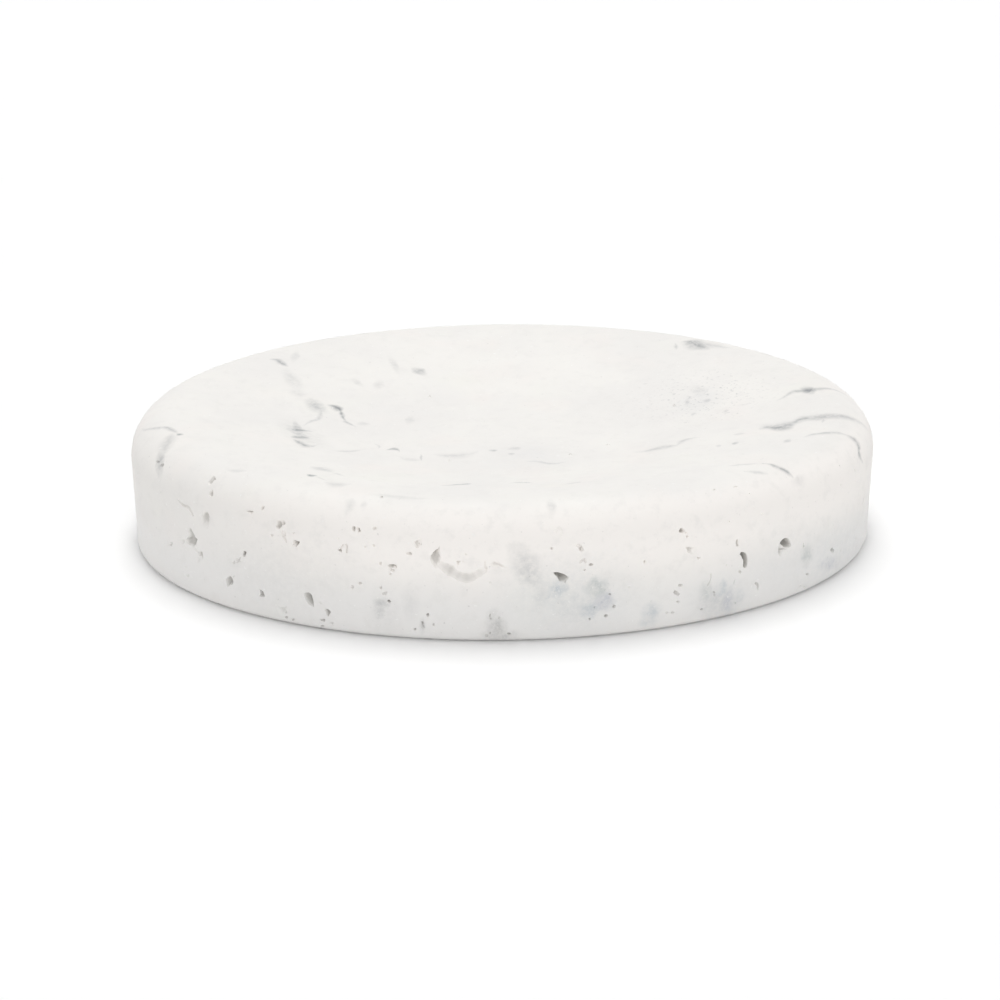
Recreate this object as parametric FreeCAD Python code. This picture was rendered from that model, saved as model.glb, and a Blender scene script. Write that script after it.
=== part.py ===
import FreeCAD, Part
import math
import os

# Oval soap dish of pale pitted stone. It stands on four soft pads that are stuck into
# shallow recesses in its flat base.
# +X runs along the length, -Y is the front, +Z is up, and the origin is at the middle
# of the surface that the pads stand on. Lengths are in millimetres.

# Whole dish, with its pads
LENGTH = 140.0
WIDTH = 115.0
HEIGHT = 25.0

# Outer wall, which leans in towards the base, and the rounded rim
WALL_DRAFT_DEG = 2.4
BASE_EDGE_RADIUS = 1.0
RIM_RADIUS = 7.5

# Shallow basin, measured along the length
BASIN_DEPTH = 5.5
BASIN_SLOPE_DEG = 9.5
RIM_INNER_RADIUS = 40.0
BASIN_FLOOR_RADIUS = 100.0

# Pads, the adhesive discs that hold them, and their recesses
PAD_DIAMETER = 10.0
PAD_THICKNESS = 1.4
PAD_EDGE_RADIUS = 0.3
PAD_SPACING_LENGTH = 80.0
PAD_SPACING_WIDTH = 60.0
PAD_RECESS_DEPTH = 1.4
PAD_RECESS_CLEARANCE = 0.3
ADHESIVE_THICKNESS = 0.2
ADHESIVE_MARGIN = 0.4

# Natural pits in the wall and rim: the mouth and depth of a common pit
PIT_MOUTH = 2.0
PIT_DEPTH = 1.3

# Groove that winds away from the largest pit, as an arc lying in the wall
GROOVE_RADIUS = 4.6
GROOVE_TUBE_RADIUS = 1.2
GROOVE_DEPTH = 0.4
GROOVE_START_DEG = 205.0
GROOVE_SWEEP_DEG = 140.0
GROOVE_PLACE_SHARES = (0.7225, 0.675)

# Pits of the front half. Each row is a share of the turn from +X, a share of the dish's
# height, the mouth's width and height as shares of PIT_MOUTH, the depth as a share of
# PIT_DEPTH, and the lean of the mouth as a share of a half turn.
FRONT_PIT_SHARES = (
    (0.587, 0.48, 1.35, 1.95, 1.40, -0.14),
    (0.594, 0.38, 0.70, 0.80, 0.80, 0.00),
    (0.599, 0.69, 0.85, 1.45, 0.45, 0.10),
    (0.595, 0.94, 0.70, 1.30, 0.70, -0.20),
    (0.600, 0.87, 0.60, 0.90, 0.70, 0.00),
    (0.613, 0.26, 0.85, 1.00, 1.20, 0.00),
    (0.631, 0.22, 0.65, 0.75, 0.80, 0.12),
    (0.655, 0.25, 0.75, 1.65, 1.10, 0.16),
    (0.641, 0.12, 0.95, 0.80, 0.40, 0.00),
    (0.664, 0.17, 0.75, 0.80, 0.90, 0.00),
    (0.711, 0.66, 1.05, 1.85, 1.50, -0.05),
    (0.704, 0.76, 0.85, 0.90, 0.50, 0.00),
    (0.689, 0.37, 0.80, 0.70, 0.80, 0.20),
    (0.733, 0.63, 1.00, 0.60, 0.60, 0.00),
    (0.761, 0.53, 1.40, 0.95, 1.40, 0.12),
    (0.761, 0.84, 0.80, 1.00, 0.45, 0.10),
    (0.769, 0.72, 0.60, 0.60, 0.70, 0.00),
    (0.783, 0.25, 0.55, 0.50, 0.70, 0.00),
    (0.811, 0.30, 0.65, 0.55, 0.90, 0.15),
    (0.812, 0.77, 0.65, 0.65, 0.60, 0.00),
    (0.816, 0.62, 0.85, 0.75, 0.45, 0.00),
    (0.844, 0.44, 0.85, 1.85, 1.40, 0.06),
    (0.868, 0.49, 1.30, 1.05, 1.50, 0.00),
    (0.883, 0.32, 0.75, 0.95, 0.45, 0.00),
    (0.905, 0.26, 0.55, 0.60, 0.80, 0.00),
)

# Pits of the back half, spread evenly but without rows by steps of the golden section
BACK_PIT_COUNT = 17
BACK_TURN_SHARES = (0.00, 0.48)
BACK_HEIGHT_SHARES = (0.16, 0.82)
BACK_PIT_SIZE_SHARES = (
    (0.70, 0.95, 0.90, 0.10),
    (1.25, 1.60, 1.40, -0.12),
    (0.60, 0.65, 0.70, 0.00),
    (0.95, 0.75, 0.60, 0.20),
    (0.60, 1.30, 1.00, 0.05),
)
GOLDEN_SHARE = 0.618034

# Worked out from the sizes above
HALF_LENGTH = LENGTH / 2
WIDTH_SHARE = WIDTH / LENGTH
BASE_Z = PAD_THICKNESS + ADHESIVE_THICKNESS - PAD_RECESS_DEPTH
FLOOR_Z = HEIGHT - BASIN_DEPTH
RIM_CENTRE_X = HALF_LENGTH - RIM_RADIUS
RIM_CENTRE_Z = HEIGHT - RIM_RADIUS
DRAFT = math.radians(WALL_DRAFT_DEG)
SLOPE = math.radians(BASIN_SLOPE_DEG)
WALL_TOP_X = RIM_CENTRE_X + RIM_RADIUS * math.cos(DRAFT)
WALL_TOP_Z = RIM_CENTRE_Z - RIM_RADIUS * math.sin(DRAFT)

PAD_SIDES = {"left": -1, "right": 1}
PAD_ENDS = {"front": -1, "back": 1}


def profile_point(x, z):
    return FreeCAD.Vector(x, 0, z)


def profile_arc(centre_x, centre_z, radius, start, end):
    """Edge of a profile arc between two angles, in radians from +X towards +Z."""
    angles = (start, (start + end) / 2, end)
    points = [
        profile_point(centre_x + radius * math.cos(a), centre_z + radius * math.sin(a)) for a in angles
    ]
    return Part.Arc(*points).toShape()


def edge_end(edge, index):
    return edge.Vertexes[index].Point


def dish_profile():
    """Half section of the dish: base, wall, rim and basin, in tangent lines and arcs."""
    quarter = math.pi / 2
    base_arc_z = BASE_Z + BASE_EDGE_RADIUS
    wall_drop = WALL_TOP_Z - base_arc_z + BASE_EDGE_RADIUS * math.sin(DRAFT)
    wall_foot_x = WALL_TOP_X - wall_drop * math.tan(DRAFT)
    base_arc_x = wall_foot_x - BASE_EDGE_RADIUS * math.cos(DRAFT)
    base_arc = profile_arc(base_arc_x, base_arc_z, BASE_EDGE_RADIUS, -quarter, -DRAFT)
    rim_arc = profile_arc(RIM_CENTRE_X, RIM_CENTRE_Z, RIM_RADIUS, -DRAFT, quarter)

    inner_arc_z = HEIGHT - RIM_INNER_RADIUS
    inner_arc = profile_arc(RIM_CENTRE_X, inner_arc_z, RIM_INNER_RADIUS, quarter, quarter + SLOPE)
    arcs_drop = (RIM_INNER_RADIUS + BASIN_FLOOR_RADIUS) * (1 - math.cos(SLOPE))
    arcs_run = (RIM_INNER_RADIUS + BASIN_FLOOR_RADIUS) * math.sin(SLOPE)
    slope_run = (BASIN_DEPTH - arcs_drop) / math.tan(SLOPE)
    floor_arc_x = RIM_CENTRE_X - arcs_run - slope_run
    floor_arc_z = FLOOR_Z + BASIN_FLOOR_RADIUS
    floor_arc = profile_arc(floor_arc_x, floor_arc_z, BASIN_FLOOR_RADIUS, SLOPE - quarter, -quarter)

    axis_bottom = profile_point(0, BASE_Z)
    axis_top = profile_point(0, FLOOR_Z)
    edges = [
        Part.makeLine(axis_bottom, edge_end(base_arc, 0)),
        base_arc,
        Part.makeLine(edge_end(base_arc, -1), edge_end(rim_arc, 0)),
        rim_arc,
        inner_arc,
        Part.makeLine(edge_end(inner_arc, -1), edge_end(floor_arc, 0)),
        floor_arc,
        Part.makeLine(edge_end(floor_arc, -1), axis_top),
        Part.makeLine(axis_top, axis_bottom),
    ]
    return Part.Face(Part.Wire(edges))


def oval_blank():
    """Four quarter turns of the section about Z, each drawn in to the oval's width, then joined."""
    origin = FreeCAD.Vector(0, 0, 0)
    axis = FreeCAD.Vector(0, 0, 1)
    to_oval = FreeCAD.Matrix()
    to_oval.A22 = WIDTH_SHARE
    quarters = []
    for start_deg in (0, 90, 180, 270):
        quarter = dish_profile().revolve(origin, axis, 90)
        quarter.rotate(origin, axis, start_deg)
        quarters.append(quarter.transformGeometry(to_oval))
    return quarters[0].multiFuse(quarters[1:])


def wall_frame(turn_share, height_share):
    """Point on the wall or rim, with the level tangent, the upward tangent and the outward normal."""
    angle = 2 * math.pi * turn_share
    z = HEIGHT * height_share
    if z < WALL_TOP_Z:
        reach = WALL_TOP_X - (WALL_TOP_Z - z) * math.tan(DRAFT)
        rise = math.tan(DRAFT)
    else:
        above = z - RIM_CENTRE_Z
        reach = RIM_CENTRE_X + math.sqrt(RIM_RADIUS ** 2 - above ** 2)
        rise = -above / (reach - RIM_CENTRE_X)
    point = FreeCAD.Vector(reach * math.cos(angle), WIDTH_SHARE * reach * math.sin(angle), z)
    normal = FreeCAD.Vector(math.cos(angle), math.sin(angle) / WIDTH_SHARE, -rise).normalize()
    level = FreeCAD.Vector(-math.sin(angle), WIDTH_SHARE * math.cos(angle), 0).normalize()
    return point, level, normal.cross(level), normal


def matrix_of(along, across, outward, origin):
    """Matrix whose columns are three directions and a place."""
    rows = []
    for axis in ("x", "y", "z"):
        rows += [getattr(vector, axis) for vector in (along, across, outward, origin)]
    return FreeCAD.Matrix(*rows, 0, 0, 0, 1)


def pit(turn_share, height_share, width_share, tall_share, depth_share, lean_share):
    """Egg-shaped hollow, centred on the wall's surface."""
    point, level, upward, normal = wall_frame(turn_share, height_share)
    lean = math.pi * lean_share
    wide = level * math.cos(lean) + upward * math.sin(lean)
    tall = upward * math.cos(lean) - level * math.sin(lean)
    matrix = matrix_of(
        wide * (PIT_MOUTH * width_share / 2),
        tall * (PIT_MOUTH * tall_share / 2),
        normal * (PIT_DEPTH * depth_share),
        point,
    )
    return Part.makeSphere(1).transformGeometry(matrix)


def groove():
    """Part of a ring that lies in the wall, sunk so that only GROOVE_DEPTH of it cuts in."""
    point, level, upward, normal = wall_frame(*GROOVE_PLACE_SHARES)
    centre = point + normal * (GROOVE_TUBE_RADIUS - GROOVE_DEPTH)
    origin = FreeCAD.Vector(0, 0, 0)
    axis = FreeCAD.Vector(0, 0, 1)
    ring = Part.makeTorus(GROOVE_RADIUS, GROOVE_TUBE_RADIUS, origin, axis, -180, 180, GROOVE_SWEEP_DEG)
    ring.rotate(origin, axis, GROOVE_START_DEG)
    return ring.transformShape(matrix_of(level, upward, normal, centre), True)


def between(low_high, share):
    return low_high[0] + (low_high[1] - low_high[0]) * share


def back_pits():
    hollows = []
    for index in range(BACK_PIT_COUNT):
        turn_share = between(BACK_TURN_SHARES, (index + GOLDEN_SHARE) / BACK_PIT_COUNT)
        height_share = between(BACK_HEIGHT_SHARES, index * GOLDEN_SHARE % 1)
        size_shares = BACK_PIT_SIZE_SHARES[index % len(BACK_PIT_SIZE_SHARES)]
        hollows.append(pit(turn_share, height_share, *size_shares))
    return hollows


def pad_places():
    """Name ending and centre of each of the four pads."""
    for end, y_sign in PAD_ENDS.items():
        for side, x_sign in PAD_SIDES.items():
            yield f"{end}_{side}", x_sign * PAD_SPACING_LENGTH / 2, y_sign * PAD_SPACING_WIDTH / 2


def disc(x, y, z, radius, thickness):
    return Part.makeCylinder(radius, thickness, FreeCAD.Vector(x, y, z))


def dish_body():
    hollows = [pit(*row) for row in FRONT_PIT_SHARES]
    hollows += back_pits()
    hollows.append(groove())
    recess_radius = PAD_DIAMETER / 2 + PAD_RECESS_CLEARANCE
    for _, x, y in pad_places():
        hollows.append(disc(x, y, 0, recess_radius, BASE_Z + PAD_RECESS_DEPTH))
    body = oval_blank()
    for hollow in hollows:
        body = body.cut(hollow)
    return body


def foot_pad(x, y):
    blank = disc(x, y, 0, PAD_DIAMETER / 2, PAD_THICKNESS)
    lower_edges = [edge for edge in blank.Edges if edge.BoundBox.ZMax < PAD_THICKNESS / 2]
    return blank.makeFillet(PAD_EDGE_RADIUS, lower_edges)


def adhesive_disc(x, y):
    return disc(x, y, PAD_THICKNESS, PAD_DIAMETER / 2 - ADHESIVE_MARGIN, ADHESIVE_THICKNESS)


def single_solid(shape):
    solid, = shape.Solids
    return solid


os.makedirs("parts", exist_ok=True)
pieces = {"dish_body": dish_body()}
for place, pad_x, pad_y in pad_places():
    pieces[f"foot_pad_{place}"] = foot_pad(pad_x, pad_y)
    pieces[f"adhesive_disc_{place}"] = adhesive_disc(pad_x, pad_y)
for node, shape in pieces.items():
    single_solid(shape).exportStep(f"parts/{node}.step")
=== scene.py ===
import math
import random

import bmesh
import bpy
from mathutils import Matrix, Vector, noise
from mathutils.bvhtree import BVHTree


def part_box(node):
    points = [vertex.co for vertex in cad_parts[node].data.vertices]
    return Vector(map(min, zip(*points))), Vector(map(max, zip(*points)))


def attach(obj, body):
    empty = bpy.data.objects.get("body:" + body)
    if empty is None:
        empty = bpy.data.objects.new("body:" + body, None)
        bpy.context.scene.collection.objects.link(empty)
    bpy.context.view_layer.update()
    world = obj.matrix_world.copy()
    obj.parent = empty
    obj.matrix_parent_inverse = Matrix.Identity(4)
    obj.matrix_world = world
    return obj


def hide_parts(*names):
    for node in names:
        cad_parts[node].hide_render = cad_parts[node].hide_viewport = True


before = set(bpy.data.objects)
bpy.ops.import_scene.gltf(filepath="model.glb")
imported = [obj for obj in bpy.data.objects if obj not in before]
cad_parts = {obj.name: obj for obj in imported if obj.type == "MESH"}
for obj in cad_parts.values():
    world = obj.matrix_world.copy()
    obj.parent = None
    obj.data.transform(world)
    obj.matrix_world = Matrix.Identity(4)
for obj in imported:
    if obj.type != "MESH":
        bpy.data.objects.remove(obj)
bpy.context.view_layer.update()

# Oval soap dish of pale pitted stone on four soft pads. Lengths are in metres, +X runs
# along the dish, -Y is its front and +Z is up.

SEED = 7
noise.seed_set(SEED)
PIXELS = 1000

# Camera of the photograph
CAMERA_ELEVATION = math.radians(19.786)
CAMERA_AZIMUTH = math.radians(-5.358)
CAMERA_DISTANCE = 0.7189
CAMERA_AIM = Vector((-0.000625, 0, 0.006202))
CAMERA_LENS = 136.22
SENSOR_WIDTH = 36

# Section of the dish along its length; its overall size comes from the frame
DISH_LOW, DISH_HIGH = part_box("dish_body")
WIDTH_SHARE = DISH_HIGH.y / DISH_HIGH.x
WALL_DRAFT = math.radians(2.4)
BASE_EDGE_RADIUS = 0.001
RIM_RADIUS = 0.0075
BASIN_DEPTH = 0.0055
BASIN_SLOPE = math.radians(9.5)
RIM_INNER_RADIUS = 0.04
BASIN_FLOOR_RADIUS = 0.1
DISH_SEGMENTS = 384

# Recesses for the pads
RECESS_DEPTH = 0.0014
RECESS_CLEARANCE = 0.0003
RECESS_SEGMENTS = 64

# Pads
PAD_EDGE_RADIUS = 0.0003
PAD_SEGMENTS = 64
PAD_PLACES = ("front_left", "front_right", "back_left", "back_right")

# Large hollows of the wall: depth, steepness of the walls, deepest pixel and then the mouth
DRAWN_HOLLOWS = (
    (0.0008, 0.6, (193.6, 537),
        (189.8, 527.8), (192.4, 531.5), (194.7, 535.5), (197.1, 539.5), (196.1, 543), (193.5, 547.8),
        (190.1, 545.3), (186.9, 543.2), (185.6, 540.1), (188.4, 537.2), (188.3, 532.9), (187.8, 529.5),
    ),
    (0.0003, 0, (183, 542),
        (179, 540.2), (181.5, 539.4), (184.6, 540), (184.8, 544.2), (182, 545.8), (179.6, 544.4),
    ),
    (0.0006, 0.5, (201.4, 553.8),
        (199.2, 552.2), (202.2, 551.8), (203, 555.2), (203.2, 559.6), (202, 558.4), (201, 556.4),
        (199, 556.2),
    ),
    (0.0002, 0, (198, 559),
        (195.8, 556), (199.6, 556.6), (200, 560), (197.6, 562.6), (196, 560.4),
    ),
    (0.0006, 0, (204.8, 515.6),
        (203.2, 511.6), (207, 511.2), (209.6, 514.8), (210, 520), (207.6, 525.2), (203.4, 524.4),
        (201.2, 520), (201.6, 515),
    ),
    (0.0006, 0.4, (213.4, 480.2),
        (214.1, 475.8), (215.9, 479.2), (213.6, 481.4), (211.4, 483.8), (208.8, 485.4), (208.2, 482.2),
        (210.6, 479.4), (212.6, 477.2),
    ),
    (0.0006, 0.5, (211.8, 494.2),
        (212.6, 489.4), (213.3, 493), (212.6, 496.2), (210, 496.4), (209.4, 493.4), (210.8, 490.6),
    ),
    (0.0009, 0.6, (229.8, 578.8),
        (230.1, 576), (232.2, 578.6), (232.9, 583.4), (231.8, 585.2), (229.9, 584.4), (227.7, 587),
        (226.5, 582), (226.2, 579), (228, 577.4),
    ),
    (0.0008, 0.5, (262, 593),
        (259.4, 588.8), (261.8, 590.8), (263, 591.6), (264.9, 596.6), (262.2, 597.2), (259.4, 596.6),
        (260.4, 592.8),
    ),
    (0.001, 0.7, (311.2, 598.4),
        (306.8, 592.2), (311.1, 594.1), (312.6, 597.9), (313.3, 602.2), (313.8, 607), (310.7, 605.6),
        (307.8, 602.7), (305.9, 599.4), (304.4, 594.6),
    ),
    (0.0008, 0.5, (328.8, 611.8),
        (324.5, 609.4), (327.4, 608.9), (330.8, 611.8), (329.8, 614.2), (328.4, 616.6), (326.5, 613.7),
    ),
    (0.0003, 0, (283, 609),
        (278, 607.4), (281.5, 606.9), (285.2, 608.2), (286, 612), (285.4, 614.8), (281, 614.6),
        (278.6, 611.4),
    ),
    (0.0007, 0.6, (433.4, 554.6),
        (439.4, 546.7), (439.7, 549.6), (440.2, 556.7), (439.6, 561), (438.4, 565.9), (435.3, 567),
        (432, 563.2), (430.4, 559.4), (431.2, 556), (432.6, 552.9), (435.3, 550.2), (437.8, 548.8),
    ),
    (0.0004, 0.2, (458.2, 562.4),
        (455.8, 561.2), (460.8, 561), (459.4, 563.4), (458.2, 565.4), (457, 563.6),
    ),
    (0.0004, 0, (493.8, 564),
        (490.4, 564.6), (493.6, 561.4), (498, 562.6), (502.4, 564.4), (506, 568), (500, 566.6),
        (495, 567.8),
    ),
    (0.0012, 0.7, (558.4, 575.6),
        (552.9, 572.7), (559, 572.4), (563.6, 573.7), (568.2, 576.4), (568.5, 578.7), (565.1, 581),
        (562.4, 581), (559.4, 581.2), (557.6, 577.9), (555.2, 574.8),
    ),
    (0.0005, 0, (689.2, 549.2),
        (685.4, 547.2), (691, 546.4), (696.2, 547.6), (694.6, 551), (692.4, 554), (689.4, 553.8),
        (687.2, 551),
    ),
    (0.0008, 0.3, (681, 531),
        (681.6, 527.4), (684, 529.4), (684.4, 532), (682, 532.8), (679.2, 532.4), (679.4, 529.8),
    ),
    (0.0014, 0.8, (785.4, 541.8),
        (779.5, 543.5), (782.4, 539.5), (785.8, 537.7), (788.7, 539.5), (790.4, 543.2), (791, 546),
        (787.6, 547.2), (784.1, 547.2), (781.8, 545.2),
    ),
    (0.0005, 0, (780.2, 550),
        (778.4, 545.8), (781.6, 546.6), (786.4, 548.4), (786.4, 549.8), (782.2, 549.6), (781.2, 555.6),
        (779, 555), (778, 550),
    ),
)
OUTLINE_STEPS = 4
HOLLOW_RINGS = 8
HOLLOW_OVERRUN = 0.14
HOLLOW_ROUGHNESS = 0.13

# Narrow hollows of the wall: depth as a share of the width, and pixel x, y and width along the line
DRAWN_GROOVES = (
    (0.22,
        (438.5, 563.5, 7), (444, 566.6, 9), (450, 570.5, 10), (456, 574.3, 9.5), (462, 577, 9),
        (469, 577.6, 8.5), (476, 574.5, 8), (482, 571.3, 7), (486.6, 569.6, 4.5),
    ),
    (0.4, (485.2, 561.5, 1.6), (485.1, 565.5, 2.4), (486.4, 569.5, 3)),
    (0.85,
        (740.3, 553.2, 3), (743.2, 554.8, 5), (745.2, 558.5, 5.4), (745.3, 563.5, 5.2), (744.8, 567.8, 3.8),
    ),
    (0.6, (754.8, 583, 1.8), (757.2, 584.2, 2.8), (758, 587, 2.8), (757.6, 590.2, 1.6)),
    (0.3, (194, 547.6, 2.6), (196.3, 550.2, 2.8), (198.6, 552.3, 2.4)),
    (0.5, (710.8, 573.6, 1.4), (710.7, 578, 1.9), (709.6, 582, 1.9), (707.4, 585.6, 1.4)),
    (0.55, (345.6, 543.6, 1.6), (347, 547, 2.4), (346.5, 553.2, 1.6)),
    (0.5, (343.2, 544.4, 1.6), (341.4, 548.2, 2.4), (339.6, 551.4, 4.2)),
    (0.5, (282.6, 530.8, 1.4), (282.7, 535, 2), (285.4, 539.4, 2.2), (286.6, 543, 1.4)),
    (0.45, (285.1, 531.4, 1.2), (285.2, 536.2, 1.6)),
    (0.55, (863.6, 497.2, 1.4), (863.2, 501, 2.4), (862.4, 504.6, 1.4)),
    (0.8, (737.4, 539.4, 1.6), (736.8, 542.6, 2.6), (737.8, 546.2, 1.8)),
    (0.45, (803.2, 543, 2), (803.9, 547.2, 2.4)),
    (0.4, (178, 500, 2), (183, 505, 2.6), (187.6, 506.6, 3), (191, 511, 2.8), (193.4, 516, 2)),
    (0.22,
        (555.4, 532.6, 2.4), (556.4, 529.4, 3.4), (558.9, 528.2, 4),
        (560.6, 531.4, 4.4), (560.7, 536.4, 2.6),
    ),
    (0.35, (576, 545.6, 2.4), (578.6, 545.4, 3.2), (581, 548, 3.6)),
    (0.45, (580, 563.2, 1.6), (582, 560.4, 2.6), (584.6, 559.6, 3), (585.8, 563, 1.6)),
    (0.5, (673.8, 591.4, 2.6), (676.6, 593.2, 3.6), (679.2, 595, 2.4)),
    (0.4, (382.2, 593.8, 2.6), (385, 593.4, 3.6), (387, 591.4, 2)),
    (0.45, (735, 579.6, 1.2), (734, 582, 1.6), (733.6, 584, 1.2)),
)
SOFT_GROOVE_SHARE = 0.3
NARROW_DEEPENING = 1.35
GROOVE_SIDES = 10
GROOVE_STEPS = 6

# Small pits of the wall and top: pixel x and y, width and height in pixels, depth as a share of the
# mouth, and lean in degrees where there is one
SMALL_PITS = (
    (244.5, 553.5, 3.4, 6.4, 0.6, 8), (238.2, 559.7, 4.4, 6, 0.24), (234.1, 562.5, 3.4, 3.6, 0.3),
    (170, 544, 5, 5, 0.24), (188, 576, 3.4, 3, 0.4), (233.6, 576.5, 2, 2, 0.5),
    (285.8, 612.5, 2.2, 3, 0.5), (323.1, 620.2, 6, 3, 0.45, 14), (331.8, 623.5, 5, 3, 0.3, -10),
    (286.2, 617.4, 3, 3, 0.5), (293.2, 619.8, 3, 3, 0.5), (322.6, 626.4, 3.4, 3, 0.5),
    (296.4, 542.9, 6, 7, 0.24, 20), (249.9, 511.7, 6, 3.4, 0.28), (262.8, 508.2, 2.6, 5.4, 0.45, 30),
    (272.3, 535.2, 2.4, 2.6, 0.4), (293.8, 532.7, 2, 2, 0.4), (281, 523, 8, 10, 0.2, 20),
    (419, 543.8, 8, 9, 0.24), (409.2, 553.7, 6, 3.6, 0.3), (353.9, 528.8, 3.6, 6, 0.45),
    (358.8, 530.4, 4, 6, 0.28), (374.8, 528.4, 5, 3.4, 0.3, -30), (374, 545.6, 3, 2.4, 0.4),
    (365.4, 546.6, 2.4, 2.6, 0.35), (392.4, 567.2, 9, 8, 0.22), (393, 570.3, 4, 2.6, 0.4),
    (390.2, 574.1, 2.8, 2.6, 0.5), (380.6, 563.3, 3, 4.4, 0.35, 20), (388.9, 601.2, 4.2, 3.2, 0.6, 25),
    (380.9, 587.8, 2.8, 3, 0.45), (360.2, 583.1, 3.6, 3, 0.45), (352.5, 586.9, 3, 4.4, 0.35),
    (427.6, 615, 3, 4, 0.6), (422.4, 625.8, 5, 8, 0.22), (415, 629.3, 3, 2.6, 0.55),
    (433.5, 624.5, 2.4, 3.6, 0.5), (382, 497, 3, 2.5, 0.4), (465.7, 554, 2.2, 2.2, 0.4),
    (581.3, 549.4, 5, 4.4, 0.36), (591.1, 564.6, 4.4, 3.2, 0.55), (584.6, 569.9, 2.4, 2, 0.45),
    (565.1, 581.7, 2.4, 2.4, 0.5), (551.6, 548.5, 2.8, 2.4, 0.5), (685.9, 532.8, 2.2, 2.6, 0.45),
    (687.3, 536.4, 2.6, 3, 0.5), (680.4, 585.3, 4.6, 3.4, 0.45), (677.9, 601.8, 3, 2.6, 0.5),
    (614, 606.3, 4, 3.2, 0.6, -35), (605.8, 615.8, 4.2, 3, 0.6, -15), (589.6, 619.3, 2.6, 2.8, 0.5),
    (609.8, 594, 2.4, 2.4, 0.5), (594.2, 607.4, 2, 2, 0.45), (645, 562, 4, 4, 0.24),
    (666.8, 612.9, 3.2, 2.6, 0.4), (672.5, 612.6, 3.4, 2.6, 0.45), (740, 571.8, 3, 3.4, 0.45),
    (832.4, 550.2, 3.6, 5, 0.5), (698.8, 557.8, 4.4, 2.8, 0.28), (714, 592.2, 2.4, 2.6, 0.5),
    (714.7, 595.4, 2.6, 2.6, 0.4), (701.6, 609.3, 3, 2.6, 0.5), (804.2, 587.2, 2.6, 2.6, 0.35),
    (800, 585.7, 2, 2, 0.35), (807.3, 574, 3, 2.6, 0.45), (489.9, 615.4, 2, 4, 0.35),
    (490.7, 619, 2, 2.6, 0.35), (498.9, 617.6, 2.4, 2.4, 0.3), (486.6, 635.6, 3, 3.4, 0.4, -30),
    (489.9, 633, 2.4, 2.6, 0.4), (508.8, 633.6, 4, 2.4, 0.5, 30), (735.6, 486.8, 4, 2.5, 0.22),
    (715, 489.9, 4, 2.5, 0.22), (429.8, 396.6, 3, 2.5, 0.35), (674, 405.4, 3, 3, 0.35),
    (608.2, 444.6, 3.5, 2.5, 0.35), (449, 460.7, 3, 2.5, 0.3), (570.3, 454.4, 3, 2.5, 0.3),
    (162.4, 465.2, 3, 4.6, 0.45, 30), (157.9, 461.7, 4.4, 2.6, 0.3),
)

# Small pores strewn over the wall and rim, and larger pits and dents on the back
PORE_COUNT = 110
PORE_MOUTH = (0.00022, 0.00048)
PORE_SHAPE = (0.7, 1.5)
PORE_DEPTH_SHARE = 0.4
PORE_HEIGHTS = (0.0025, 0.0225)
PORE_SEED = 500
BACK_PIT_COUNT = 17
BACK_TURN_SHARES = (0, 0.48)
BACK_HEIGHT_SHARES = (0.16, 0.82)
BACK_PIT_MOUTHS = (
    (0.0014, 0.0019, 0.0012, 18),
    (0.0025, 0.0032, 0.0018, -22),
    (0.0012, 0.0013, 0.0009, 0),
    (0.0019, 0.0015, 0.0008, 36),
    (0.0012, 0.0026, 0.0013, 9),
)
GOLDEN_SHARE = 0.618034
BACK_PIT_SEED = 300
BACK_DENT_COUNT = 22
BACK_DENT_MOUTH = (0.0006, 0.0016)
BACK_DENT_SHAPE = (0.8, 1.7)
BACK_DENT_LEAN = (-40, 40)
BACK_DENT_SEED = 400
DENT_SHARE = 0.6
SOFT_DENT_SHARE = 0.22
CORNER_SHARE = 0.16
CORNER_COUNT = 3
ODD_ONE_IN = 3

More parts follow.
